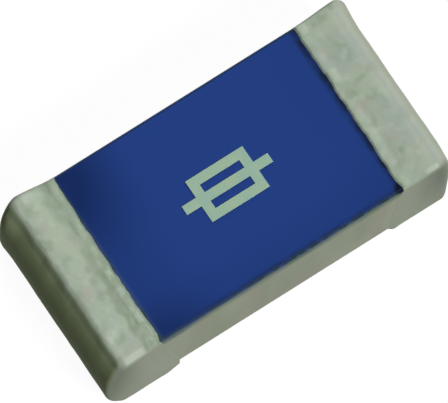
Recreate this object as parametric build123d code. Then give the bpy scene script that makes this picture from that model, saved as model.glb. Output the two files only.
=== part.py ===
from build123d import *
import os

# Multilayer ceramic chip fuse, 1206 size (3.2 x 1.6 x 0.97 mm over its plated ends).
# X runs along the chip, Y across it, Z up from the board.
# The origin is the centre of the footprint, on the plane of the solder pads.
# All sizes are in millimetres.

# Fired ceramic block that holds the fuse elements
body_length = 2.872
body_width = 1.536
body_height = 0.850
body_edge_radius = 0.035     # tumbled before the ends are dipped

# Blue glass layer fired on to the top of the block
cover_thickness = 0.03

# Silver fuse elements, buried in the block one above the other
element_count = 3
element_pitch = 0.16
element_thickness = 0.016
tab_width = 1.10             # wide end that meets the silver of the cap
tab_length = 0.60
link_width = 0.17
shoulder_radius = 0.20
neck_width = 0.07            # narrowest place, where the element melts
neck_radius = 0.09

# Fired silver of each end cap, thin at its lip and thick on the end face
silver_lip = 0.003
silver_top = 0.015           # over the block's top, beside the end
silver_side = 0.018          # on the block's sides, beside the end
silver_under = 0.046         # between the block and the solder pad
silver_end = 0.025           # end face, at its top and bottom edges
end_crown = 0.125            # how far the middle of the end face stands out past its edges
top_band = 0.34              # reach of the silver over the block's top, from the block's end
under_band = 0.44            # reach along its underside
pad_rise = 0.070             # length over which the underside slopes up to its lip
silver_corner_cut = 0.042    # paste thins over the block's corners
silver_edge_cut = 0.024      # and over its edges

# Plating over the silver
nickel_thickness = 0.005
tin_thickness = 0.009
tin_corner_radius = 0.075    # upright corners of the end
tin_edge_radius = 0.058      # all other edges
tin_lip_radius = 0.012

plating = nickel_thickness + tin_thickness
body_bottom = silver_under + plating
cover_bottom = body_bottom + body_height
body_top = cover_bottom + cover_thickness
body_end = body_length / 2


def body_block():
    """Ceramic block together with its glass layer, all edges tumbled round."""
    size_z = body_top - body_bottom
    block = Box(body_length, body_width, size_z)
    block = fillet(block.edges(), body_edge_radius)
    return Pos(0, 0, body_bottom + size_z / 2) * block


def fuse_element(level):
    """Flat strip with wide end tabs, round shoulders and a neck in the middle of its link."""
    tab_x = body_end - tab_length / 2
    outline = Rectangle(body_length, link_width)
    for side in (-1, 1):
        outline += Pos(side * tab_x, 0) * Rectangle(tab_length, tab_width)
    inner_tab_x = body_end - tab_length
    shoulders = [
        v for v in outline.vertices()
        if abs(abs(v.X) - inner_tab_x) < 1e-6 and abs(abs(v.Y) - link_width / 2) < 1e-6
    ]
    outline = fillet(shoulders, shoulder_radius)
    for side in (-1, 1):
        outline -= Pos(0, side * (neck_width / 2 + neck_radius)) * Circle(neck_radius)
    return Pos(0, 0, level) * extrude(outline, element_thickness)


def crowned_prism(grow):
    """Sharp-edged outer form of the right-hand cap, grown outwards by the given plating.

    The top and the sides rise gently from a thin lip. The solder pad underneath is flat and
    slopes up to its own lip, and the end face is crowned.
    """
    end_x = body_end + silver_end + grow
    apex_x = end_x + end_crown
    lip_x = body_end - top_band - grow
    lip_z = body_top + silver_lip + grow
    high_x = end_x - tin_edge_radius
    high_z = body_top + silver_top + grow
    end_z = lip_z + (high_z - lip_z) * (end_x - lip_x) / (high_x - lip_x)
    pad_z = plating - grow
    pad_lip = (body_end - under_band - grow, body_bottom - silver_lip - grow)
    pad_start = (pad_lip[0] + pad_rise, pad_z)
    crown = ThreePointArc((end_x, pad_z), (apex_x, (pad_z + end_z) / 2), (end_x, end_z))
    rest = Polyline((end_x, end_z), (lip_x, lip_z), pad_lip, pad_start, (end_x, pad_z))
    profile = make_face([crown, rest])
    lip_y = body_width / 2 + silver_lip + grow
    wide_x = apex_x - tin_corner_radius
    wide_y = body_width / 2 + silver_side + grow
    past_x = 2 * wide_x - pad_lip[0]
    past_y = 2 * wide_y - lip_y
    plan = make_face(Polyline(
        (pad_lip[0], -lip_y), (past_x, -past_y), (past_x, past_y), (pad_lip[0], lip_y),
        close=True,
    ))
    return extrude(Plane.XZ * profile, past_y, both=True) & extrude(plan, end_z)


def mouth(form):
    """The flat, open inner end of a cap form."""
    return min(form.faces().filter_by(GeomType.PLANE), key=lambda face: face.normal_at().X)


def uprights(form):
    """The two crowned edges between the end face and the sides."""
    return form.edges().filter_by(GeomType.LINE, reverse=True).sort_by(Axis.X)[-2:]


def rims(form):
    """Every edge round the top and the solder pad, apart from the mouth's."""
    tall = (body_top - body_bottom) / 2
    edges = form.edges() - mouth(form).edges()
    return [edge for edge in edges if edge.bounding_box().size.Z < tall]


def cut_form(grow):
    """Form of the silver or the nickel, whose paste thins over the edges of the block."""
    added = grow * (2 - 2 ** 0.5)
    form = crowned_prism(grow)
    form = chamfer(uprights(form), silver_corner_cut + added)
    return chamfer(rims(form), silver_edge_cut + added)


def round_form():
    """Form of the tin, which grows round over every edge and at the lip."""
    form = crowned_prism(plating)
    form = fillet(uprights(form), tin_corner_radius)
    form = fillet(rims(form), tin_edge_radius)
    return fillet(mouth(form).edges(), tin_lip_radius)


def save(shape, name):
    """Write one piece to its own file."""
    export_step(shape, os.path.join("parts", name + ".step"))


os.makedirs("parts", exist_ok=True)

block = body_block()

# Elements, lowest first, spread about the middle of the ceramic
element_middle = body_bottom + body_height / 2
elements = []
for index in range(element_count):
    level = element_middle + (index - (element_count - 1) / 2) * element_pitch - element_thickness / 2
    elements.append(fuse_element(level))
    save(elements[-1], f"fuse_element_{index + 1}")

# Ceramic below the glass layer, with the elements sealed in it
below_cover = Pos(0, 0, body_bottom) * Box(
    body_length, body_width, body_height, align=(Align.CENTER, Align.CENTER, Align.MIN)
)
ceramic = block & below_cover
for element in elements:
    ceramic -= element
save(ceramic, "ceramic_body")
save(block - below_cover, "blue_cover")

# Caps, each a stack of silver, nickel and tin
silver_form = cut_form(0)
nickel_form = cut_form(nickel_thickness)
tin_form = round_form()
layers = {
    "silver_cap": silver_form - block,
    "nickel_barrier": nickel_form - silver_form - block,
    "tin_finish": tin_form - nickel_form - block,
}
for name, layer in layers.items():
    save(layer, name + "_right")
    save(mirror(layer, about=Plane.YZ), name + "_left")
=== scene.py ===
import math
import bpy
from mathutils import Matrix, Vector


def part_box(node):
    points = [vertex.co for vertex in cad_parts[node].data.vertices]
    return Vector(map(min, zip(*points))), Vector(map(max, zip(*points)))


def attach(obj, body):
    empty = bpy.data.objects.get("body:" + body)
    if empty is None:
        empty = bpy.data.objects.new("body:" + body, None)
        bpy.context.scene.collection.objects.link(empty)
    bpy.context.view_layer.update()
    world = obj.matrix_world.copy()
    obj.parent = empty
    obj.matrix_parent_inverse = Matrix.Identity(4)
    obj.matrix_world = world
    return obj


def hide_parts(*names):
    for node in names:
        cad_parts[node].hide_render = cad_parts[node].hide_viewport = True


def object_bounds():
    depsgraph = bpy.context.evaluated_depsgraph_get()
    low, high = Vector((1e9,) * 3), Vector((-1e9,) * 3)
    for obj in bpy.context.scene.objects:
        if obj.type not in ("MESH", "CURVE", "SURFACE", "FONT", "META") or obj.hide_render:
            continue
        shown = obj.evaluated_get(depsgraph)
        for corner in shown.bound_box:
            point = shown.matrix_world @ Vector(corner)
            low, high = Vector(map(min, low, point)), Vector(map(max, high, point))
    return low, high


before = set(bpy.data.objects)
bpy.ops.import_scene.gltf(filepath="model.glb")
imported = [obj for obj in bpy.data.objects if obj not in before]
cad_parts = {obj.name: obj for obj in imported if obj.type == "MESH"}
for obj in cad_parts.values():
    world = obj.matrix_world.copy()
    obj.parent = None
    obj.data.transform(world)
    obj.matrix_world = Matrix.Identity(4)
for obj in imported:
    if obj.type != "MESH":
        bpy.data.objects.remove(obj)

cad_low, cad_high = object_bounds()


# ---- Camera --------------------------------------------------------------------------------
# A long lens looks steeply down on the chip, over its left-hand cap and its near long side.
# It stands so far away that the chip's edges look all but parallel.
MM = 0.001
camera_azimuth = math.radians(-39.8)
camera_elevation = math.radians(73.4)
camera_roll = math.radians(6.56)
camera_distance = 100 * MM
view_width = 3.406 * MM             # at the chip's middle
aim_right = -0.0108 * MM            # how far beside the chip's middle the camera aims
aim_up = -0.0017 * MM

toward_camera = Vector((
    math.sin(camera_azimuth) * math.cos(camera_elevation),
    -math.cos(camera_azimuth) * math.cos(camera_elevation),
    math.sin(camera_elevation),
))
level_right = Vector((math.cos(camera_azimuth), math.sin(camera_azimuth), 0))
level_up = toward_camera.cross(level_right)
view_right = level_right * math.cos(camera_roll) + level_up * math.sin(camera_roll)
view_up = toward_camera.cross(view_right)
chip_middle = (Vector(cad_low) + Vector(cad_high)) / 2
aim = chip_middle + view_right * aim_right + view_up * aim_up

camera_data = bpy.data.cameras.new("camera")
camera_data.sensor_width = 36
camera_data.lens = camera_data.sensor_width * camera_distance / view_width
camera_data.clip_start = 5 * MM
camera_data.clip_end = 1.0
camera = bpy.data.objects.new("camera", camera_data)
bpy.context.scene.collection.objects.link(camera)
camera_turn = Matrix((view_right, view_up, toward_camera)).transposed().to_4x4()
camera.matrix_world = Matrix.Translation(aim + toward_camera * camera_distance) @ camera_turn
bpy.context.scene.camera = camera
bpy.context.scene.view_settings.view_transform = "Standard"


# ---- Floor, backdrop and light ---------------------------------------------------------------
# The chip lies on a plain white surface. A soft lamp high over its near side lights the top
# and that side, and a weaker one behind it the far side and the right-hand end.
lamps = {                           # direction, strength, and softness in degrees
    "key_lamp": ((0.11, -0.65, 0.75), 2.86, 18),
    "rim_lamp": ((0.68, 0.66, 0.31), 2.30, 30),
}
white = (1, 1, 1, 1)
surroundings = (0.062, 0.067, 0.042, 1)      # the room, as it lights the chip
floor_reflects = (0.055, 0.060, 0.025, 1)    # the floor, as it lights the chip
floor_white = 0.955                 # the part of the floor's white that a shadow leaves
floor_shade = (0.07, 0.07, 0.07, 1)
floor_size = 400 * MM


def wire(tree, socket, value):
    """Gives a socket a link or a plain value."""
    if isinstance(value, bpy.types.NodeSocket):
        tree.links.new(value, socket)
    else:
        socket.default_value = value


def step(tree, kind, *values, **settings):
    """Adds a node whose sockets take the values in their order. None leaves a socket alone."""
    node = tree.nodes.new(kind)
    for name, setting in settings.items():
        setattr(node, name, setting)
    for socket, value in zip(node.inputs, values):
        if value is not None:
            wire(tree, socket, value)
    return node


def reckon(tree, operation, *values):
    """A sum, product or other arithmetic on links and numbers."""
    return step(tree, "ShaderNodeMath", *values, operation=operation).outputs[0]


def seen_directly(tree):
    """1 for the rays that show the backdrop: to the camera, and off shiny or clear surfaces."""
    path = step(tree, "ShaderNodeLightPath").outputs
    shown = reckon(tree, "MAXIMUM", path["Is Camera Ray"], path["Is Glossy Ray"])
    return reckon(tree, "MAXIMUM", shown, path["Is Transmission Ray"])


for name, (lamp_direction, strength, softness) in lamps.items():
    lamp_data = bpy.data.lights.new(name, "SUN")
    lamp_data.energy = strength
    lamp_data.angle = math.radians(softness)
    lamp = bpy.data.objects.new(name, lamp_data)
    lamp.rotation_mode = "QUATERNION"
    lamp.rotation_quaternion = Vector(lamp_direction).to_track_quat("Z", "Y")
    bpy.context.scene.collection.objects.link(lamp)

world = bpy.data.worlds.new("studio")
bpy.context.scene.world = world
world.use_nodes = True
sky = world.node_tree
sky.nodes.clear()
dim_room = step(sky, "ShaderNodeBackground", surroundings, 1.0).outputs[0]
white_room = step(sky, "ShaderNodeBackground", white, 1.0).outputs[0]
room = step(sky, "ShaderNodeMixShader", seen_directly(sky), dim_room, white_room).outputs[0]
step(sky, "ShaderNodeOutputWorld", room)

floor_material = bpy.data.materials.new("white_floor")
floor_material.use_nodes = True
tree = floor_material.node_tree
tree.nodes.clear()
bounce = step(tree, "ShaderNodeBsdfDiffuse", floor_reflects).outputs[0]
shade = step(tree, "ShaderNodeBsdfDiffuse", floor_shade).outputs[0]
glow = step(tree, "ShaderNodeEmission", white, floor_white).outputs[0]
backdrop = step(tree, "ShaderNodeAddShader", shade, glow).outputs[0]
surface = step(tree, "ShaderNodeMixShader", seen_directly(tree), bounce, backdrop).outputs[0]
step(tree, "ShaderNodeOutputMaterial", surface)

half_floor = floor_size / 2
floor_mesh = bpy.data.meshes.new("floor")
floor_mesh.from_pydata(
    [(-half_floor, -half_floor, 0), (half_floor, -half_floor, 0),
     (half_floor, half_floor, 0), (-half_floor, half_floor, 0)], [], [(0, 1, 2, 3)])
floor_mesh.materials.append(floor_material)
floor = bpy.data.objects.new("floor", floor_mesh)
bpy.context.scene.collection.objects.link(floor)


# ---- Ceramic body ----------------------------------------------------------------------------
# Thin sheets of glass-ceramic, stacked round the fuse elements, pressed and fired into one pale
# grey-green block. It is cut from a larger plate and then tumbled, which dulls its faces.
# The blue glass on its top stains a fringe of it.
ceramic_pale = (0.375, 0.412, 0.330, 1)
ceramic_dark = (0.325, 0.365, 0.285, 1)
ceramic_blush = (0.365, 0.365, 0.305, 1)
ceramic_fringe = (0.100, 0.135, 0.165, 1)    # the fringe, in two tints
ceramic_moss = (0.140, 0.195, 0.120, 1)
fringe_depth = 0.12 * MM
ceramic_relief = 0.0015 * MM


def finish(name, roughness, specular):
    """A new material with its node tree and shader, for a section to give its detail."""
    material = bpy.data.materials.new(name)
    material.use_nodes = True
    shader = material.node_tree.nodes["Principled BSDF"]
    shader.inputs["Roughness"].default_value = roughness
    shader.inputs["Specular IOR Level"].default_value = specular
    return material, material.node_tree, shader


def place(tree):
    """Where a point lies on the chip, in metres."""
    return step(tree, "ShaderNodeTexCoord").outputs["Object"]


def parts(tree, arrow):
    """The three parts of a place or a direction: along the chip, across it and up."""
    return step(tree, "ShaderNodeSeparateXYZ", arrow).outputs


def steer(tree, operation, *values):
    """Arithmetic on places and directions."""
    return step(tree, "ShaderNodeVectorMath", *values, operation=operation).outputs[0]


def drawn_out(tree, where):
    """The same places with heights pressed together, which draws a pattern out down a side."""
    return steer(tree, "MULTIPLY", where, (1, 1, 0.3))


def product(tree, *values):
    """All the values multiplied."""
    result = values[0]
    for value in values[1:]:
        result = reckon(tree, "MULTIPLY", result, value)
    return result


def mottle(tree, where, size, detail, seed):
    """A soft random pattern about 0.5, with patches of about the given size."""
    noise = step(tree, "ShaderNodeTexNoise", where, seed, 1 / size, detail, noise_dimensions="4D")
    return noise.outputs[0]


def ease(tree, value, start, end, low=0.0, high=1.0):
    """Goes smoothly from low to high while the value goes from start to end."""
    ramp = step(tree, "ShaderNodeMapRange", value, start, end, low, high,
                interpolation_type="SMOOTHSTEP")
    return ramp.outputs[0]


def patches(tree, where, size, seed, start, end, low=0.0, high=1.0):
    """Random patches with soft edges, where a mottled pattern goes from start to end."""
    return ease(tree, mottle(tree, where, size, 1.0, seed), start, end, low, high)


def blend(tree, share, first, second):
    """A colour between two colours."""
    mixed = step(tree, "ShaderNodeMix", share, data_type="RGBA")
    wire(tree, mixed.inputs[6], first)
    wire(tree, mixed.inputs[7], second)
    return mixed.outputs[2]


def stained(tree, colour, *stains):
    """A colour with others laid over it in turn, each by its own share."""
    for share, stain_colour in stains:
        colour = blend(tree, share, colour, stain_colour)
    return colour


def roughen(tree, shader, height, depth):
    """Gives a shader a relief of the given depth in metres."""
    relief = step(tree, "ShaderNodeBump", 1.0, depth)
    wire(tree, relief.inputs["Height"], height)
    wire(tree, shader.inputs["Normal"], relief.outputs[0])


def dress(node_name, material):
    """Gives a solid of the frame its material."""
    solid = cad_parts[node_name]
    solid.data.materials.clear()
    solid.data.materials.append(material)


body_low, body_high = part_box("ceramic_body")
ceramic, tree, shader = finish("fired_ceramic", roughness=0.7, specular=0.05)
where = place(tree)
drawn = drawn_out(tree, where)
height = parts(tree, where)[2]
cloud = ease(
    tree, mottle(tree, drawn, size=0.35 * MM, detail=2.0, seed=1), start=0.38, end=0.66)
blush = patches(tree, drawn, size=0.20 * MM, seed=19, start=0.48, end=0.68, high=0.8)
grain = mottle(tree, where, size=0.030 * MM, detail=3.0, seed=2)
specks = ease(tree, grain, start=0.55, end=0.75, high=0.35)
fringe = product(
    tree, ease(tree, height, body_high.z - fringe_depth, body_high.z),
    patches(tree, where, size=0.25 * MM, seed=16, start=0.35, end=0.65, low=0.60))
moss = patches(tree, where, size=0.14 * MM, seed=25, start=0.46, end=0.60)
colour = stained(
    tree, ceramic_pale, (cloud, ceramic_dark), (blush, ceramic_blush), (specks, ceramic_dark),
    (fringe, blend(tree, moss, ceramic_fringe, ceramic_moss)))
wire(tree, shader.inputs["Base Color"], colour)
roughen(tree, shader, grain, ceramic_relief)
dress("ceramic_body", ceramic)


# ---- Fuse elements ---------------------------------------------------------------------------
# Three silver strips printed on the sheets of the body and fired in it. One of their necks
# melts when too much current flows. They stay hidden in the ceramic.
element_dark = (0.72, 0.70, 0.65, 1)
element_light = (0.88, 0.87, 0.83, 1)


def grained_metal(name, roughness, grain_size, seed, dark, light, relief):
    """A plain metal with a fine grain in its colour and its surface."""
    material, tree, shader = finish(name, roughness, specular=0.5)
    shader.inputs["Metallic"].default_value = 1.0
    grain = mottle(tree, place(tree), grain_size, 3.0, seed)
    wire(tree, shader.inputs["Base Color"], blend(tree, grain, dark, light))
    roughen(tree, shader, grain, relief)
    return material


element_silver = grained_metal(
    "element_silver", roughness=0.35, grain_size=0.02 * MM, seed=3,
    dark=element_dark, light=element_light, relief=0.002 * MM)
for name in sorted(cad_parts):
    if name.startswith("fuse_element"):
        dress(name, element_silver)


# ---- Blue cover ------------------------------------------------------------------------------
# A layer of blue glass paste, printed over the top of the block and fired. Painted shade
# darkens it towards the left-hand cap and its edges, where a broad reflection fades, and on its
# rounding. Dark lines and dashes run along the near edge, a painted shadow of the right-hand
# cap's lip lies beside it, and a green and blue stain shows through its sides.
blue_open = (0.0148, 0.0455, 0.2180, 1)
# painted shade towards the left-hand cap and the edges of the top
blue_shaded = (0.0055, 0.0200, 0.1020, 1)
blue_edge_shade = (0.0090, 0.0260, 0.1100, 1)      # painted shade on the rounding; dark line along the near edge
blue_lip_shadow = (0.0070, 0.0160, 0.0480, 1)      # painted shadow of the right-hand cap's lip
blue_smear = (0.0800, 0.1100, 0.1050, 1)     # beside the left-hand cap
blue_moss = (0.0200, 0.0450, 0.0300, 1)      # dots in that smear
blue_dash = (0.0110, 0.0260, 0.0430, 1)      # dashes in the near edge
blue_pit = (0.0015, 0.0050, 0.0190, 1)       # in the corner that the right-hand lip lays bare
cover_stain = (0.105, 0.150, 0.205, 1)       # on the sides, in two tints
cover_green = (0.105, 0.175, 0.130, 1)
blue_shade_base = 0.32                             # share of the painted shade beside the left-hand cap
unevenness = 0.12                            # of the blue's darkness, at random
glass_relief = 0.0008 * MM
glass_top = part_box("blue_cover")[1].z
pit_place = (1.090 * MM, -0.745 * MM, glass_top)
# Each of these goes from where a shade begins to where it is at its fullest
blue_shade_left_reach = (-0.40 * MM, -1.08 * MM)
blue_shade_far_reach = (-0.15 * MM, 0.70 * MM)
blue_shade_near_reach = (-0.35 * MM, -0.78 * MM)
blue_shade_right_reach = (0.40 * MM, 1.20 * MM)
blue_shade_side_reach = (-0.30 * MM, -0.80 * MM)
near_line_reach = (-0.700 * MM, -0.745 * MM)
right_lip_shadow_reach = (1.030 * MM, 1.078 * MM)
left_smear_reach = (-1.055 * MM, -1.100 * MM)
left_dots_reach = (-1.070 * MM, -1.090 * MM)
rounding_reach = (glass_top - 0.0001 * MM, glass_top - 0.0035 * MM)
stain_reach = (glass_top - 0.002 * MM, glass_top - 0.026 * MM)
dash_reach_along = (-0.9 * MM, 0.3 * MM)
dash_reach_across = (-0.728 * MM, -0.746 * MM)
dash_reach_up = (glass_top - 0.022 * MM, glass_top - 0.008 * MM)
pit_reach = (0.075 * MM, 0.030 * MM)


def total(tree, *values):
    """All the values added up."""
    result = values[0]
    for value in values[1:]:
        result = reckon(tree, "ADD", result, value)
    return result


def apart(tree, start, end):
    """The distance between two places."""
    return step(tree, "ShaderNodeVectorMath", start, end, operation="DISTANCE").outputs["Value"]


blue_glass, tree, shader = finish("blue_glass", roughness=0.5, specular=0.06)
where = place(tree)
x, y, z = parts(tree, where)

# Painted shade, darker towards the left-hand cap and the edges, and random unevenness
blue_shade_left = ease(tree, x, *blue_shade_left_reach)
blue_shade_far = ease(tree, y, *blue_shade_far_reach, high=0.82)
blue_shade_near = ease(tree, y, *blue_shade_near_reach, high=0.40)
blue_shade_right = ease(tree, x, *blue_shade_right_reach, high=0.13)
blue_shade_side = ease(tree, y, *blue_shade_side_reach, high=0.20)
cloud = mottle(tree, where, size=0.8 * MM, detail=1.0, seed=4)
uneven = reckon(tree, "MULTIPLY_ADD", cloud, unevenness, -unevenness / 2)
blue_shade_and_unevenness = product(tree, blue_shade_left, total(tree, blue_shade_far, blue_shade_near, blue_shade_base))
blue_shade_and_unevenness = total(tree, blue_shade_and_unevenness, blue_shade_right, blue_shade_side, uneven)

# Painted shade on the rounding, a dark line along the near edge, a painted shadow beside the
# right-hand cap, and a smear with dark dots beside the left-hand one
line_patches = patches(tree, where, size=0.12 * MM, seed=18, start=0.35, end=0.60, low=0.5)
near_line = product(tree, ease(tree, y, *near_line_reach), line_patches)
edge_shade_and_line = reckon(tree, "MAXIMUM", ease(tree, z, *rounding_reach), near_line)
right_lip_shadow = product(tree, ease(tree, x, *right_lip_shadow_reach), line_patches)
left_smear = ease(tree, x, *left_smear_reach, high=0.40)
left_dots = product(
    tree, patches(tree, where, size=0.060 * MM, seed=27, start=0.46, end=0.62, high=0.65),
    ease(tree, x, *left_dots_reach))

# A stain down the sides, dashes along the near edge and a pit in one corner
stain = ease(tree, z, *stain_reach)
stain_patches = patches(tree, where, size=0.14 * MM, seed=22, start=0.40, end=0.58)
dashes = product(
    tree, patches(tree, where, size=0.055 * MM, seed=24, start=0.40, end=0.56),
    ease(tree, x, *dash_reach_along, low=0.35, high=0.95),
    ease(tree, y, *dash_reach_across), ease(tree, z, *dash_reach_up))
pit = ease(tree, apart(tree, where, pit_place), *pit_reach)
colour = stained(
    tree, blue_open, (blue_shade_and_unevenness, blue_shaded), (edge_shade_and_line, blue_edge_shade), (right_lip_shadow, blue_lip_shadow),
    (left_smear, blue_smear), (left_dots, blue_moss),
    (stain, blend(tree, stain_patches, cover_green, cover_stain)),
    (dashes, blue_dash), (pit, blue_pit))
wire(tree, shader.inputs["Base Color"], colour)
glass_grain = mottle(tree, where, size=0.05 * MM, detail=2.0, seed=5)
roughen(tree, shader, glass_grain, glass_relief)
dress("blue_cover", blue_glass)


# ---- Mark on the cover -----------------------------------------------------------------------
# The general circuit symbol for a fuse, a bar with a line through it, screen printed on the
# glass in pale ink and fired.
mark_length = 0.78 * MM             # of the line
bar_length = 0.52 * MM
bar_width = 0.38 * MM
stroke = 0.080 * MM
ink_thickness = 0.005 * MM
ink_round = 0.0015 * MM             # radius of the ink's edges
ink_relief = 0.001 * MM
ink_pale = (0.325, 0.455, 0.325, 1)
ink_cool = (0.285, 0.430, 0.345, 1)
ink_dark = (0.25, 0.36, 0.29, 1)


def outline(curve, corners):
    """Adds a closed straight-sided outline to a flat curve."""
    line = curve.splines.new("POLY")
    line.points.add(len(corners) - 1)
    for point, (corner_x, corner_y) in zip(line.points, corners):
        point.co = (corner_x, corner_y, 0, 1)
    line.use_cyclic_u = True


mark_curve = bpy.data.curves.new("fuse_mark", "CURVE")
mark_curve.dimensions = "2D"
mark_curve.fill_mode = "BOTH"
half_line, half_bar = mark_length / 2, bar_length / 2
half_width, half_stroke = bar_width / 2, stroke / 2
outline(mark_curve, [
    (-half_line, -half_stroke), (-half_bar, -half_stroke), (-half_bar, -half_width),
    (half_bar, -half_width), (half_bar, -half_stroke), (half_line, -half_stroke),
    (half_line, half_stroke), (half_bar, half_stroke), (half_bar, half_width),
    (-half_bar, half_width), (-half_bar, half_stroke), (-half_line, half_stroke),
])
window = half_bar - stroke          # half the length of the two openings in the bar
for side in (-1, 1):
    low, high = sorted((side * half_stroke, side * (half_width - stroke)))
    outline(mark_curve, [(-window, low), (-window, high), (window, high), (window, low)])
mark_curve.extrude = ink_thickness / 2
mark_curve.bevel_depth = ink_round
mark_curve.offset = -ink_round
mark_outline = bpy.data.objects.new("fuse_mark_outline", mark_curve)
bpy.context.scene.collection.objects.link(mark_outline)
bpy.context.view_layer.update()
evaluated = mark_outline.evaluated_get(bpy.context.evaluated_depsgraph_get())
mark_mesh = bpy.data.meshes.new_from_object(evaluated)
bpy.data.objects.remove(mark_outline)
mark_mesh.transform(Matrix.Translation((0, 0, glass_top + ink_thickness / 2)))

mark_ink, tree, shader = finish("pale_ink", roughness=0.6, specular=0.15)
where = place(tree)
ink_cloud = patches(tree, where, size=0.15 * MM, seed=7, start=0.35, end=0.65)
ink_grain = mottle(tree, where, size=0.025 * MM, detail=3.0, seed=6)
ink_specks = ease(tree, ink_grain, start=0.55, end=0.80, high=0.30)
colour = stained(tree, ink_pale, (ink_cloud, ink_cool), (ink_specks, ink_dark))
wire(tree, shader.inputs["Base Color"], colour)
roughen(tree, shader, ink_grain, ink_relief)
mark_mesh.materials.clear()
mark_mesh.materials.append(mark_ink)
mark = bpy.data.objects.new("fuse_mark", mark_mesh)
bpy.context.scene.collection.objects.link(mark)
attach(mark, "root")


# ---- Silver of the end caps ------------------------------------------------------------------
# Each end of the block is dipped in silver paste, which is fired on and joins the elements. The
# paste gives the cap its form: a wavering lip, sides that swell out, and a crowned end face.
paste_dark = (0.62, 0.60, 0.55, 1)
paste_light = (0.80, 0.79, 0.75, 1)
cap_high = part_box("tin_finish_right")[1]
crease = 1.475 * MM                  # where the top of a cap meets its end face
nickel_thickness = 0.005 * MM
tin_thickness = 0.009 * MM
wave_size = 0.13 * MM                # of the slow waves in the lip
nick_size = 0.045 * MM               # of the small nicks in it
crease_wave_size = 0.15 * MM
dent_size = 0.20 * MM
soft_edge_length = 0.28 * MM         # from the lip to where the top's edge is fully soft
crown_length = 0.25 * MM             # length behind the end face over which the crown rises
thinnest_coat = 0.001 * MM
weld_distance = 1e-6 * MM
crowding = 1.5                       # 1 for squares alike all over, more for small ones by the lip
least_room = 0.04                    # share of its depth at which an inner layer ends
bead_waves = 6.0                     # how much the lip's waves break up the bead
bead_nicks = 3.0                     # and its nicks
bead_most = 1.4                      # the bead's greatest height, as a share of its size
# Where the bead begins behind the lip, is full, begins to fade and ends
bead_band = (0.005 * MM, 0.040 * MM, 0.055 * MM, 0.095 * MM)
dents_reach = (0.02 * MM, 0.14 * MM)
# Each of these goes from where a change of form begins to where it is complete, as a share of
# the cap's half width or of its height
pulled_across = (0.84, 0.97)
pulled_up = (0.75, 0.98)
top_up = (0.82, 0.98)
low_down = (0.55, 0.05)
foot_down = (0.25, 0.03)
crease_across = (0.94, 0.80)
fuller_across = (0.65, 0.97)
dome_across = 1.05                   # where the dome is complete
cap_sizes = {
    "Lip": 1.096 * MM,               # place of the lip along the chip, on top
    "Lean": 0.010 * MM,              # further out on the crisp side than in the middle
    "Bow": 0.007 * MM,               # and further in on both sides
    "Slant": 0.100 * MM,             # how much further in the lip lies underneath
    "Waver": 0.013 * MM,
    "Corner pull": 0.020 * MM,       # how far the lip draws back over one corner of the block
    "Pulled side": -1.0,             # 1 for the crisp side; the top's edge is soft there too
    "End": crease,
    "End lean": 0.002 * MM,
    "End slope": 0.030 * MM,         # how much further out the end lies at its foot
    "End waver": 0.026 * MM,
    "Crown": cap_high.x - crease - 0.0155 * MM,
    "Half width": 0.785 * MM,
    "Height": cap_high.z + 0.0022 * MM,
    "Crease radius": 0.095 * MM,     # along the chip, where the end face meets the top
    "Crisp corner": 0.036 * MM,      # radius of one upright corner
    "Round corner": 0.080 * MM,      # and of the other, where the crown flattens out too
    "Foot corner": 0.040 * MM,       # radius of both beside the solder pad
    "Fuller crisp side": 1.0,        # 1 for a crown that stays full up and down that side
    "Fuller round side": 1.0,
    "Dome": 0.40,                    # share of the crown that is lost at the round corner
    "Dome start": 0.66,              # as a share of the half width
    "Side radius": 0.090 * MM,       # across the chip, where the top's edge is soft
    "Edge drop": 0.048 * MM,         # height of the rounding round the top
    "Foot rise": 0.055 * MM,         # and round the solder pad
    "Body end": body_high.x,
    "Body half width": body_high.y,
    "Body bottom": body_low.z,
    "Body top": glass_top,
    "Body radius": 0.035 * MM,
    "Lip rise": 0.014 * MM,          # length over which the coat rises at the very lip
    "Top step": 0.42,                # share of the coat that stands there, on top
    "Side step": 0.02,               # and on the sides
    "Low step": 0.06,                # and how much more, low on the sides
    "Pad step": 0.30,                # and on the solder pad
    "Top flat": 0.07 * MM,           # length behind the lip before the top swells further
    "Top swell": 0.30 * MM,          # from the lip to where the coat has its full height
    "Side swell": 0.34 * MM,
    "Low swell": 0.070 * MM,
    "Pad swell": 0.100 * MM,
    "Bead": 0.004 * MM,
    "Bead cover": 0.05,              # up to 1 for a bead without gaps
    "Dents": 0.011 * MM,
    "Depth": 0.0,                    # of the layer's face under that of the tin
    "Wall": 1.0 * MM,                # thickness of the layer, as far as there is room
    "Seed": 1.0,
    "Turn": 0.0,
    "Rows along": 20,
    "Rows across": 56,
    "Rows up": 32,
}


def band(tree, value, start, full, fading, end):
    """Rises from 0 to 1 between start and full, and falls to 0 again between fading and end."""
    return product(tree, ease(tree, value, start, full), ease(tree, value, end, fading))


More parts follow.
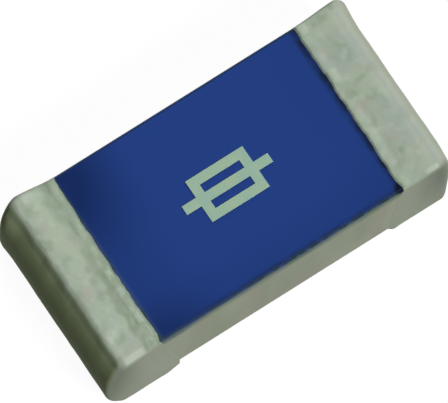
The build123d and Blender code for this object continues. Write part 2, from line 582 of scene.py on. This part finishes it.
def dipped_cap():
    """The rule of one layer of an end cap, a box of squares drawn into the cap's form."""
    tree = bpy.data.node_groups.new("dipped_cap", "GeometryNodeTree")
    for name, size in cap_sizes.items():
        kind = "NodeSocketInt" if isinstance(size, int) else "NodeSocketFloat"
        tree.interface.new_socket(name, in_out="INPUT", socket_type=kind)
    tree.interface.new_socket("Finish", in_out="INPUT", socket_type="NodeSocketMaterial")
    tree.interface.new_socket("Geometry", in_out="OUTPUT", socket_type="NodeSocketGeometry")
    given = step(tree, "NodeGroupInput").outputs

    def times(*values):
        return product(tree, *values)

    def plus(*values):
        return total(tree, *values)

    def minus(first, second):
        return reckon(tree, "SUBTRACT", first, second)

    def least(first, second):
        return reckon(tree, "MINIMUM", first, second)

    def most(first, second):
        return reckon(tree, "MAXIMUM", first, second)

    def square(value):
        return reckon(tree, "MULTIPLY", value, value)

    def rising(value, start, end, low=0.0, high=1.0):
        return ease(tree, value, start, end, low, high)

    def between(share, first, second):
        return plus(first, times(share, minus(second, first)))

    def vector(along, across, up):
        return step(tree, "ShaderNodeCombineXYZ", along, across, up).outputs[0]

    def bound(value, low, high):
        return step(tree, "ShaderNodeClamp", value, low, high).outputs[0]

    def moved(start, arrow, distance):
        line = step(tree, "ShaderNodeVectorMath", arrow, None, None, distance, operation="SCALE")
        return steer(tree, "ADD", start, line.outputs[0])

    # A box of squares, which are smaller towards the lip
    box = step(tree, "GeometryNodeMeshCube", (1, 1, 1), given["Rows along"],
               given["Rows across"], given["Rows up"]).outputs[0]
    unit = parts(tree, step(tree, "GeometryNodeInputPosition").outputs[0])
    share_along = reckon(tree, "POWER", plus(unit[0], 0.5), crowding)
    share_up = plus(unit[2], 0.5)
    sideways = times(unit[1], 2.0)               # 1 on the crisp side, -1 on the round one
    across = times(sideways, given["Half width"])
    up = times(share_up, given["Height"])

    # Lip and crease, which waver
    rim = vector(0.0, across, up)
    wave = minus(mottle(tree, rim, wave_size, 1.0, given["Seed"]), 0.5)
    nick = minus(mottle(tree, rim, nick_size, 1.0, given["Seed"]), 0.5)
    even_lip = minus(given["Lip"], times(given["Slant"], minus(1.0, share_up)))
    even_lip = plus(even_lip, times(sideways, given["Lean"]))
    even_lip = minus(even_lip, times(square(sideways), given["Bow"]))
    pulled = rising(times(sideways, given["Pulled side"]), *pulled_across)
    pull = times(given["Corner pull"], pulled, rising(share_up, *pulled_up))
    lip = plus(even_lip, times(given["Waver"], plus(times(wave, 2.0), nick)), pull)
    crease_line = vector(0.0, across, 0.0)
    crease_seed = plus(given["Seed"], 2.0)
    crease_wave = minus(mottle(tree, crease_line, crease_wave_size, 1.5, crease_seed), 0.5)
    high = rising(share_up, *top_up)
    end = minus(given["End"], times(given["End waver"], crease_wave, high))
    end = plus(end, times(sideways, given["End lean"]))
    end = plus(end, times(minus(1.0, share_up), given["End slope"]))
    along = between(share_along, lip, end)

    # Radii of the upright corners, of the crease between them and of the top's soft side
    round_side = reckon(tree, "LESS_THAN", sideways, 0.0)
    corner = between(round_side, given["Crisp corner"], given["Round corner"])
    corner = between(rising(share_up, *foot_down), corner, given["Foot corner"])
    inside = rising(reckon(tree, "ABSOLUTE", sideways), *crease_across)
    radius_x = between(times(high, inside), corner, given["Crease radius"])
    soft_side = reckon(tree, "GREATER_THAN", times(sideways, given["Pulled side"]), 0.0)
    behind_lip = rising(minus(along, lip), 0.0, soft_edge_length)
    radius_y = between(times(high, behind_lip, soft_side), corner, given["Side radius"])
    upper_half = reckon(tree, "GREATER_THAN", share_up, 0.5)
    radius_z = between(upper_half, given["Foot rise"], given["Edge drop"])
    radii = vector(radius_x, radius_y, radius_z)

    # Full form, with its edges rounded and its end crowned
    inner_y = minus(given["Half width"], radius_y)
    core = vector(
        least(along, minus(end, radius_x)),
        bound(across, times(inner_y, -1.0), inner_y),
        bound(up, given["Foot rise"], minus(given["Height"], given["Edge drop"])),
    )
    past_core = steer(tree, "SUBTRACT", vector(along, across, up), core)
    outward = steer(tree, "NORMALIZE", steer(tree, "DIVIDE", past_core, radii))
    rounded = steer(tree, "ADD", core, steer(tree, "MULTIPLY", outward, radii))
    spot = parts(tree, rounded)
    off_middle = minus(reckon(tree, "DIVIDE", times(spot[2], 2.0), given["Height"]), 1.0)
    off_middle = square(off_middle)
    fuller = most(times(sideways, given["Fuller crisp side"]),
                  times(sideways, times(given["Fuller round side"], -1.0)))
    fuller = times(off_middle, rising(fuller, *fuller_across, low=0.25))
    crown = times(given["Crown"], minus(1.0, off_middle), plus(1.0, fuller))
    crown = times(crown, rising(spot[0], minus(end, crown_length), end))
    dome = rising(times(sideways, -1.0), given["Dome start"], dome_across)
    crown = times(crown, minus(1.0, times(dome, given["Dome"])))
    full = moved(rounded, (1, 0, 0), crown)

    # Nearest point of the block, and the room for a coat over it
    spot_full = parts(tree, full)
    body_inner_y = minus(given["Body half width"], given["Body radius"])
    body_core = vector(
        least(spot_full[0], minus(given["Body end"], given["Body radius"])),
        bound(spot_full[1], times(body_inner_y, -1.0), body_inner_y),
        bound(spot_full[2], plus(given["Body bottom"], given["Body radius"]),
              minus(given["Body top"], given["Body radius"])),
    )
    away = steer(tree, "NORMALIZE", steer(tree, "SUBTRACT", full, body_core))
    under = moved(body_core, away, given["Body radius"])
    room = apart(tree, full, under)

    # Share of the room that the coat fills: it thins towards the lip, least low on the sides
    facing = parts(tree, outward)
    faces_up = square(most(facing[2], 0.0))
    faces_down = square(least(facing[2], 0.0))
    faces_side = square(facing[1])
    faces_end = square(facing[0])
    from_lip = minus(spot[0], lip)
    from_even_lip = minus(spot[0], even_lip)
    lip_step = rising(from_lip, 0.0, given["Lip rise"])

    def swollen(step_share, start, full):
        # A step up at the very lip, and a slow swell behind it
        swell = rising(from_even_lip, start, full)
        return plus(times(lip_step, step_share), times(swell, minus(1.0, step_share)))

    low = rising(share_up, *low_down)
    side_step = plus(given["Side step"], times(low, given["Low step"]))
    side_swell = between(low, given["Side swell"], given["Low swell"])
    top_share = swollen(given["Top step"], given["Top flat"], given["Top swell"])
    side_share = swollen(side_step, 0.0, side_swell)
    pad_share = swollen(given["Pad step"], 0.0, given["Pad swell"])
    share = plus(times(faces_up, top_share), times(faces_side, side_share),
                 times(faces_down, pad_share), faces_end)

    # A bead behind the lip, and soft dents that leave the solder pad flat
    bead_cover = plus(given["Bead cover"], times(wave, bead_waves), times(nick, bead_nicks))
    bead = band(tree, from_lip, *bead_band)
    bead = times(bead, faces_up, bound(bead_cover, 0.0, bead_most))
    dent_seed = plus(given["Seed"], 5.0)
    dents = mottle(tree, drawn_out(tree, rounded), dent_size, 2.0, dent_seed)
    dents = times(dents, given["Dents"], minus(1.0, faces_down), share)
    dents = times(dents, rising(from_lip, *dents_reach))
    coat = plus(times(room, share), minus(times(bead, given["Bead"]), dents))
    coat = most(coat, times(lip_step, thinnest_coat))

    # The layer, from its outer face to its inner one. An inner layer ends where there is no
    # room for it, and the tin thins out to nothing at the lip.
    outer_rise = minus(coat, given["Depth"])
    inner_rise = most(minus(outer_rise, given["Wall"]), 0.0)
    normal = parts(tree, step(tree, "GeometryNodeInputNormal").outputs[0])
    faces_block = reckon(tree, "LESS_THAN", normal[0], -0.5)
    no_room = reckon(tree, "LESS_THAN", outer_rise, times(given["Depth"], least_room))
    sheet = step(tree, "GeometryNodeDeleteGeometry", box, most(faces_block, no_room),
                 domain="FACE").outputs[0]
    stored_values = (
        ("from_lip", "FLOAT", from_lip), ("lip_bead", "FLOAT", bead),
        ("face_up", "FLOAT", faces_up), ("face_side", "FLOAT", faces_side),
        ("face_end", "FLOAT", faces_end),
        ("inner_place", "FLOAT_VECTOR", moved(under, away, inner_rise)),
    )
    for name, kind, value in stored_values:
        store = step(tree, "GeometryNodeStoreNamedAttribute", sheet, None, name,
                     data_type=kind, domain="POINT")
        wire(tree, store.inputs["Value"], value)
        sheet = store.outputs[0]
    outer_place = moved(under, away, outer_rise)
    outer = step(tree, "GeometryNodeSetPosition", sheet, None, outer_place).outputs[0]
    wall = step(tree, "GeometryNodeExtrudeMesh", outer, None, None, 0.0, False).outputs
    inner_place = step(tree, "GeometryNodeInputNamedAttribute", "inner_place",
                       data_type="FLOAT_VECTOR").outputs[0]
    inner = step(tree, "GeometryNodeSetPosition", wall["Mesh"], wall["Top"], inner_place)
    joined = step(tree, "GeometryNodeJoinGeometry", outer)
    wire(tree, joined.inputs[0], step(tree, "GeometryNodeFlipFaces", inner.outputs[0]).outputs[0])
    closed = step(tree, "GeometryNodeMergeByDistance", joined.outputs[0], None, weld_distance)
    plain = step(tree, "GeometryNodeRemoveAttribute", closed.outputs[0])
    wire(tree, plain.inputs["Name"], "inner_place")
    not_wall = step(tree, "FunctionNodeBooleanMath", wall["Side"], operation="NOT").outputs[0]
    smooth = step(tree, "GeometryNodeSetShadeSmooth", plain.outputs[0], not_wall, True).outputs[0]
    turned = step(tree, "GeometryNodeTransform", smooth)
    wire(tree, turned.inputs["Rotation"], vector(0.0, 0.0, given["Turn"]))
    real = step(tree, "GeometryNodeRealizeInstances", turned.outputs[0]).outputs[0]
    finished = step(tree, "GeometryNodeSetMaterial", real, None, given["Finish"]).outputs[0]
    step(tree, "NodeGroupOutput", finished)
    return tree


cap_rule = dipped_cap()
# The left-hand cap reaches further in underneath, and its end face turns down more sharply
cap_sides = {
    "left": {
        "Turn": math.pi, "Seed": 3.0,
        "Bow": 0.012 * MM, "Slant": 0.195 * MM, "Pulled side": 1.0,
        "End": crease - 0.011 * MM, "End lean": 0.004 * MM, "End slope": 0.0,
        "Crown": cap_high.x - crease + 0.012 * MM, "Half width": cap_high.y + 0.002 * MM,
        "Crease radius": 0.032 * MM, "Crisp corner": 0.055 * MM, "Round corner": 0.085 * MM,
        "Foot corner": 0.080 * MM, "Fuller crisp side": 0.0, "Dome": 0.33, "Dome start": 0.82,
        "Pad swell": 0.110 * MM, "Low step": 0.58, "Low swell": 0.140 * MM,
        "Bead": 0.006 * MM, "Bead cover": 0.45,
    },
    "right": {"Seed": 8.0},
}


def coat_ends(layer, material, slot_name, **changes):
    """Draws one layer of both caps, in place of that layer's two solids of the frame."""
    for side, side_changes in cap_sides.items():
        name = f"{side}_cap_{slot_name}"
        blank = bpy.data.objects.new(name, bpy.data.meshes.new(name + "_blank"))
        bpy.context.scene.collection.objects.link(blank)
        modifier = blank.modifiers.new("dipped_cap", "NODES")
        modifier.node_group = cap_rule
        sizes = {**cap_sizes, **side_changes, **changes}
        for socket in cap_rule.interface.items_tree:
            if socket.in_out == "INPUT":
                modifier[socket.identifier] = sizes.get(socket.name, material)
        bpy.context.view_layer.update()
        evaluated = blank.evaluated_get(bpy.context.evaluated_depsgraph_get())
        mesh = bpy.data.meshes.new_from_object(evaluated)
        bpy.data.objects.remove(blank)
        cap = bpy.data.objects.new(name, mesh)
        bpy.context.scene.collection.objects.link(cap)
        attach(cap, "root")
        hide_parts(f"{layer}_{side}")


fired_silver = grained_metal(
    "fired_silver", roughness=0.55, grain_size=0.03 * MM, seed=8,
    dark=paste_dark, light=paste_light, relief=0.003 * MM)
coat_ends("silver_cap", fired_silver, "fired_silver", Depth=nickel_thickness + tin_thickness)


# ---- Nickel of the end caps ------------------------------------------------------------------
# Nickel is plated over the silver in a barrel of small steel balls. It keeps molten solder from
# dissolving the silver, and the tin hides it.
nickel_dark = (0.56, 0.53, 0.46, 1)
nickel_light = (0.68, 0.66, 0.60, 1)

plated_nickel = grained_metal(
    "plated_nickel", roughness=0.42, grain_size=0.02 * MM, seed=9,
    dark=nickel_dark, light=nickel_light, relief=0.001 * MM)
coat_ends("nickel_barrier", plated_nickel, "nickel", Depth=tin_thickness, Wall=nickel_thickness)


# ---- Tin of the end caps ---------------------------------------------------------------------
# Matte tin is plated last, so that the ends take solder. It is pale and blotchy. Painted shade
# darkens the hollow behind the lip, the sides towards the ends, the right-hand cap's turn and the
# left-hand end face; painted highlights pale the lip's bead, the left-hand crease, the near edge
# of the top, two spots and small glints by the lip.
tin_rows = {"Rows along": 46, "Rows across": 134, "Rows up": 74}
tin_pale = (0.372, 0.440, 0.350, 1)
tin_cool = (0.342, 0.405, 0.352, 1)
tin_rose = (0.385, 0.392, 0.342, 1)
tin_green = (0.265, 0.335, 0.245, 1)
tin_bead_highlight = (0.398, 0.465, 0.375, 1)           # painted highlight on the bead
tin_rim = (0.275, 0.345, 0.275, 1)           # between the bead and the lip's end
tin_thin = (0.085, 0.125, 0.110, 1)          # at the left-hand lip's very end
# painted shade in the hollow behind the lip
tin_hollow_shade = (0.235, 0.285, 0.215, 1)
# pale flecks, and painted highlights on the crease, edges, spots and glints
tin_flecks_and_highlight = (0.455, 0.515, 0.440, 1)
tin_flank = (0.350, 0.380, 0.312, 1)
# painted shade on the sides towards the ends
tin_side_shade = (0.175, 0.205, 0.165, 1)
# painted shade, with an olive tint, on the left-hand end face
tin_end_shade = (0.320, 0.380, 0.235, 1)
# painted shade just under the left-hand crease
tin_crease_shade = (0.170, 0.215, 0.150, 1)
tin_turn_shade = (0.340, 0.356, 0.335, 1)          # painted shade on the right-hand cap's turn down to its end
tin_relief = 0.003 * MM
stain_strength = 0.75
hollow_wander = 0.10 * MM                    # how far the hollow strays to and from the lip
left_shift = 0.07 * MM                       # of the left-hand cap's painted side shade and edge highlight
relief_shares = (0.6, 0.4)                   # of the stains and of the grain
# Where each of these begins behind the lip, is full, begins to fade and ends
hollow_band = (0.075 * MM, 0.105 * MM, 0.120 * MM, 0.155 * MM)
glint_band = (0.012 * MM, 0.030 * MM, 0.055 * MM, 0.080 * MM)
# And where the painted highlight on the crease does, as a share of facing the end
crease_band = (0.0, 0.10, 0.25, 0.60)
# Each of these goes from where a shade begins to where it is at its fullest
near_half_reach = (0.40 * MM, -0.30 * MM)
rim_reach = (0.045 * MM, 0.015 * MM)
thin_reach = (0.032 * MM, 0.0)
lip_shade_reach = (0.22 * MM, 0.02 * MM)
side_shade_reach = (1.12 * MM, 1.52 * MM)
side_shade_rise = (0.0, 0.80 * MM)
painted_highlight_start = (1.29 * MM, 1.35 * MM)
painted_highlight_end = (1.45 * MM, 1.41 * MM)
painted_highlight_across = (-0.712 * MM, -0.735 * MM)
crease_shade_rise = (0.870 * MM, 0.920 * MM)
highlight_spot_reach = (0.085 * MM, 0.020 * MM)
highlight_spot_places = (
    (-1.335 * MM, 0.735 * MM, cap_high.z),
    (-1.405 * MM, -0.530 * MM, cap_high.z),
)

matte_tin, tree, shader = finish("matte_tin", roughness=0.6, specular=0.04)
where = place(tree)
x, y, z = parts(tree, where)
from_middle = reckon(tree, "ABSOLUTE", x)
left_end = reckon(tree, "LESS_THAN", x, 0.0)


def stored(name):
    """A value that the caps' rule has stored on their surface."""
    return step(tree, "ShaderNodeAttribute", attribute_name=name).outputs["Fac"]


def by_end(left, right):
    """One value on the left-hand cap and another on the right-hand one."""
    return reckon(tree, "MULTIPLY_ADD", left_end, left - right, right)


from_lip, face_up = stored("from_lip"), stored("face_up")
face_side, face_end = stored("face_side"), stored("face_end")

# Blotches all over
drawn = drawn_out(tree, where)
cool = patches(tree, drawn, size=0.22 * MM, seed=10, start=0.36, end=0.64)
blush = patches(tree, drawn, size=0.16 * MM, seed=17, start=0.50, end=0.70, high=0.9)
stain = patches(tree, drawn, size=0.12 * MM, seed=11, start=0.48, end=0.72)
flecks = patches(tree, where, size=0.080 * MM, seed=14, start=0.50, end=0.70, high=0.38)
colour = stained(
    tree, tin_pale, (cool, tin_cool), (blush, tin_rose),
    (product(tree, stain, stain_strength), tin_green), (flecks, tin_flecks_and_highlight))

# On top by the lip: painted shade in the hollow, the rim, the thin end of the left-hand lip,
# painted highlights on the bead and in glints, and the lip's shade
near_half = product(tree, ease(tree, y, *near_half_reach, low=0.45), by_end(1.0, 0.35))
hollow_wave = mottle(tree, where, size=0.12 * MM, detail=1.0, seed=20)
wander = reckon(tree, "MULTIPLY_ADD", hollow_wave, hollow_wander, -hollow_wander / 2)
hollow_shade = product(
    tree, band(tree, total(tree, from_lip, wander), *hollow_band), face_up, near_half,
    patches(tree, where, size=0.15 * MM, seed=13, start=0.34, end=0.56, high=0.75))
rim = product(
    tree, ease(tree, from_lip, *rim_reach, high=0.7), face_up,
    patches(tree, where, size=0.15 * MM, seed=21, start=0.40, end=0.60, low=0.2))
thin = product(
    tree, ease(tree, from_lip, *thin_reach), face_up, left_end,
    patches(tree, where, size=0.06 * MM, seed=26, start=0.38, end=0.60, low=0.45))
# Painted highlight on the bead, fainter on the left-hand cap
bead = product(tree, stored("lip_bead"), by_end(0.25, 1.0))
lip_shade = product(tree, ease(tree, from_lip, *lip_shade_reach, high=0.55), face_up, left_end)
glints = product(
    tree, band(tree, from_lip, *glint_band), face_up, left_end, near_half,
    patches(tree, where, size=0.055 * MM, seed=28, start=0.48, end=0.64, high=0.50))
colour = stained(
    tree, colour, (hollow_shade, tin_hollow_shade), (rim, tin_rim), (thin, tin_thin), (bead, tin_bead_highlight),
    (lip_shade, tin_green), (glints, tin_flecks_and_highlight))

# Sides with little green in them, and painted shade on them towards the ends, most of all high up
flank = ease(tree, face_up, start=0.60, end=0.05, high=0.85)
side_shade = product(
    tree, ease(tree, total(tree, from_middle, by_end(-left_shift, 0.0)), *side_shade_reach),
    ease(tree, z, *side_shade_rise, low=0.35), face_side)

# Painted highlights: the left-hand crease, the near edge of the top and two spots on top
painted_highlight_crease = product(
    tree, band(tree, face_end, *crease_band), left_end,
    patches(tree, where, size=0.13 * MM, seed=15, start=0.42, end=0.60), face_up)
painted_highlight_edge = product(
    tree, ease(tree, y, *painted_highlight_across), ease(tree, face_up, start=0.25, end=0.50),
    ease(tree, total(tree, from_middle, by_end(left_shift, 0.0)), *painted_highlight_start),
    ease(tree, from_middle, *painted_highlight_end))
painted_highlight = reckon(tree, "MAXIMUM", painted_highlight_crease, painted_highlight_edge)
highlight_spot_patches = patches(tree, where, size=0.07 * MM, seed=23, start=0.35, end=0.60, low=0.35)
for highlight_spot_place in highlight_spot_places:
    highlight_spot = ease(tree, apart(tree, where, highlight_spot_place), *highlight_spot_reach)
    painted_highlight = reckon(tree, "MAXIMUM", painted_highlight, product(tree, highlight_spot, highlight_spot_patches))

# Painted shade on the right-hand cap's turn, and on the left-hand end face, with an olive tint,
# darkest just under its crease
turn = product(
    tree, ease(tree, face_end, start=0.0, end=0.35), face_up, by_end(0.0, 1.0))
end_shade = product(
    tree, ease(tree, face_end, start=0.55, end=0.95),
    ease(tree, face_side, start=0.35, end=0.05), left_end)
crease_shade = product(tree, end_shade, ease(tree, z, *crease_shade_rise, high=0.8))
colour = stained(
    tree, colour, (flank, tin_flank), (side_shade, tin_side_shade), (painted_highlight, tin_flecks_and_highlight),
    (turn, tin_turn_shade), (end_shade, tin_end_shade), (crease_shade, tin_crease_shade))
wire(tree, shader.inputs["Base Color"], colour)
grain = mottle(tree, where, size=0.014 * MM, detail=3.0, seed=12)
stain_share, grain_share = relief_shares
relief = total(tree, product(tree, stain, stain_share), product(tree, grain, grain_share))
roughen(tree, shader, relief, tin_relief)
coat_ends("tin_finish", matte_tin, "matte_tin", Wall=tin_thickness, **tin_rows)
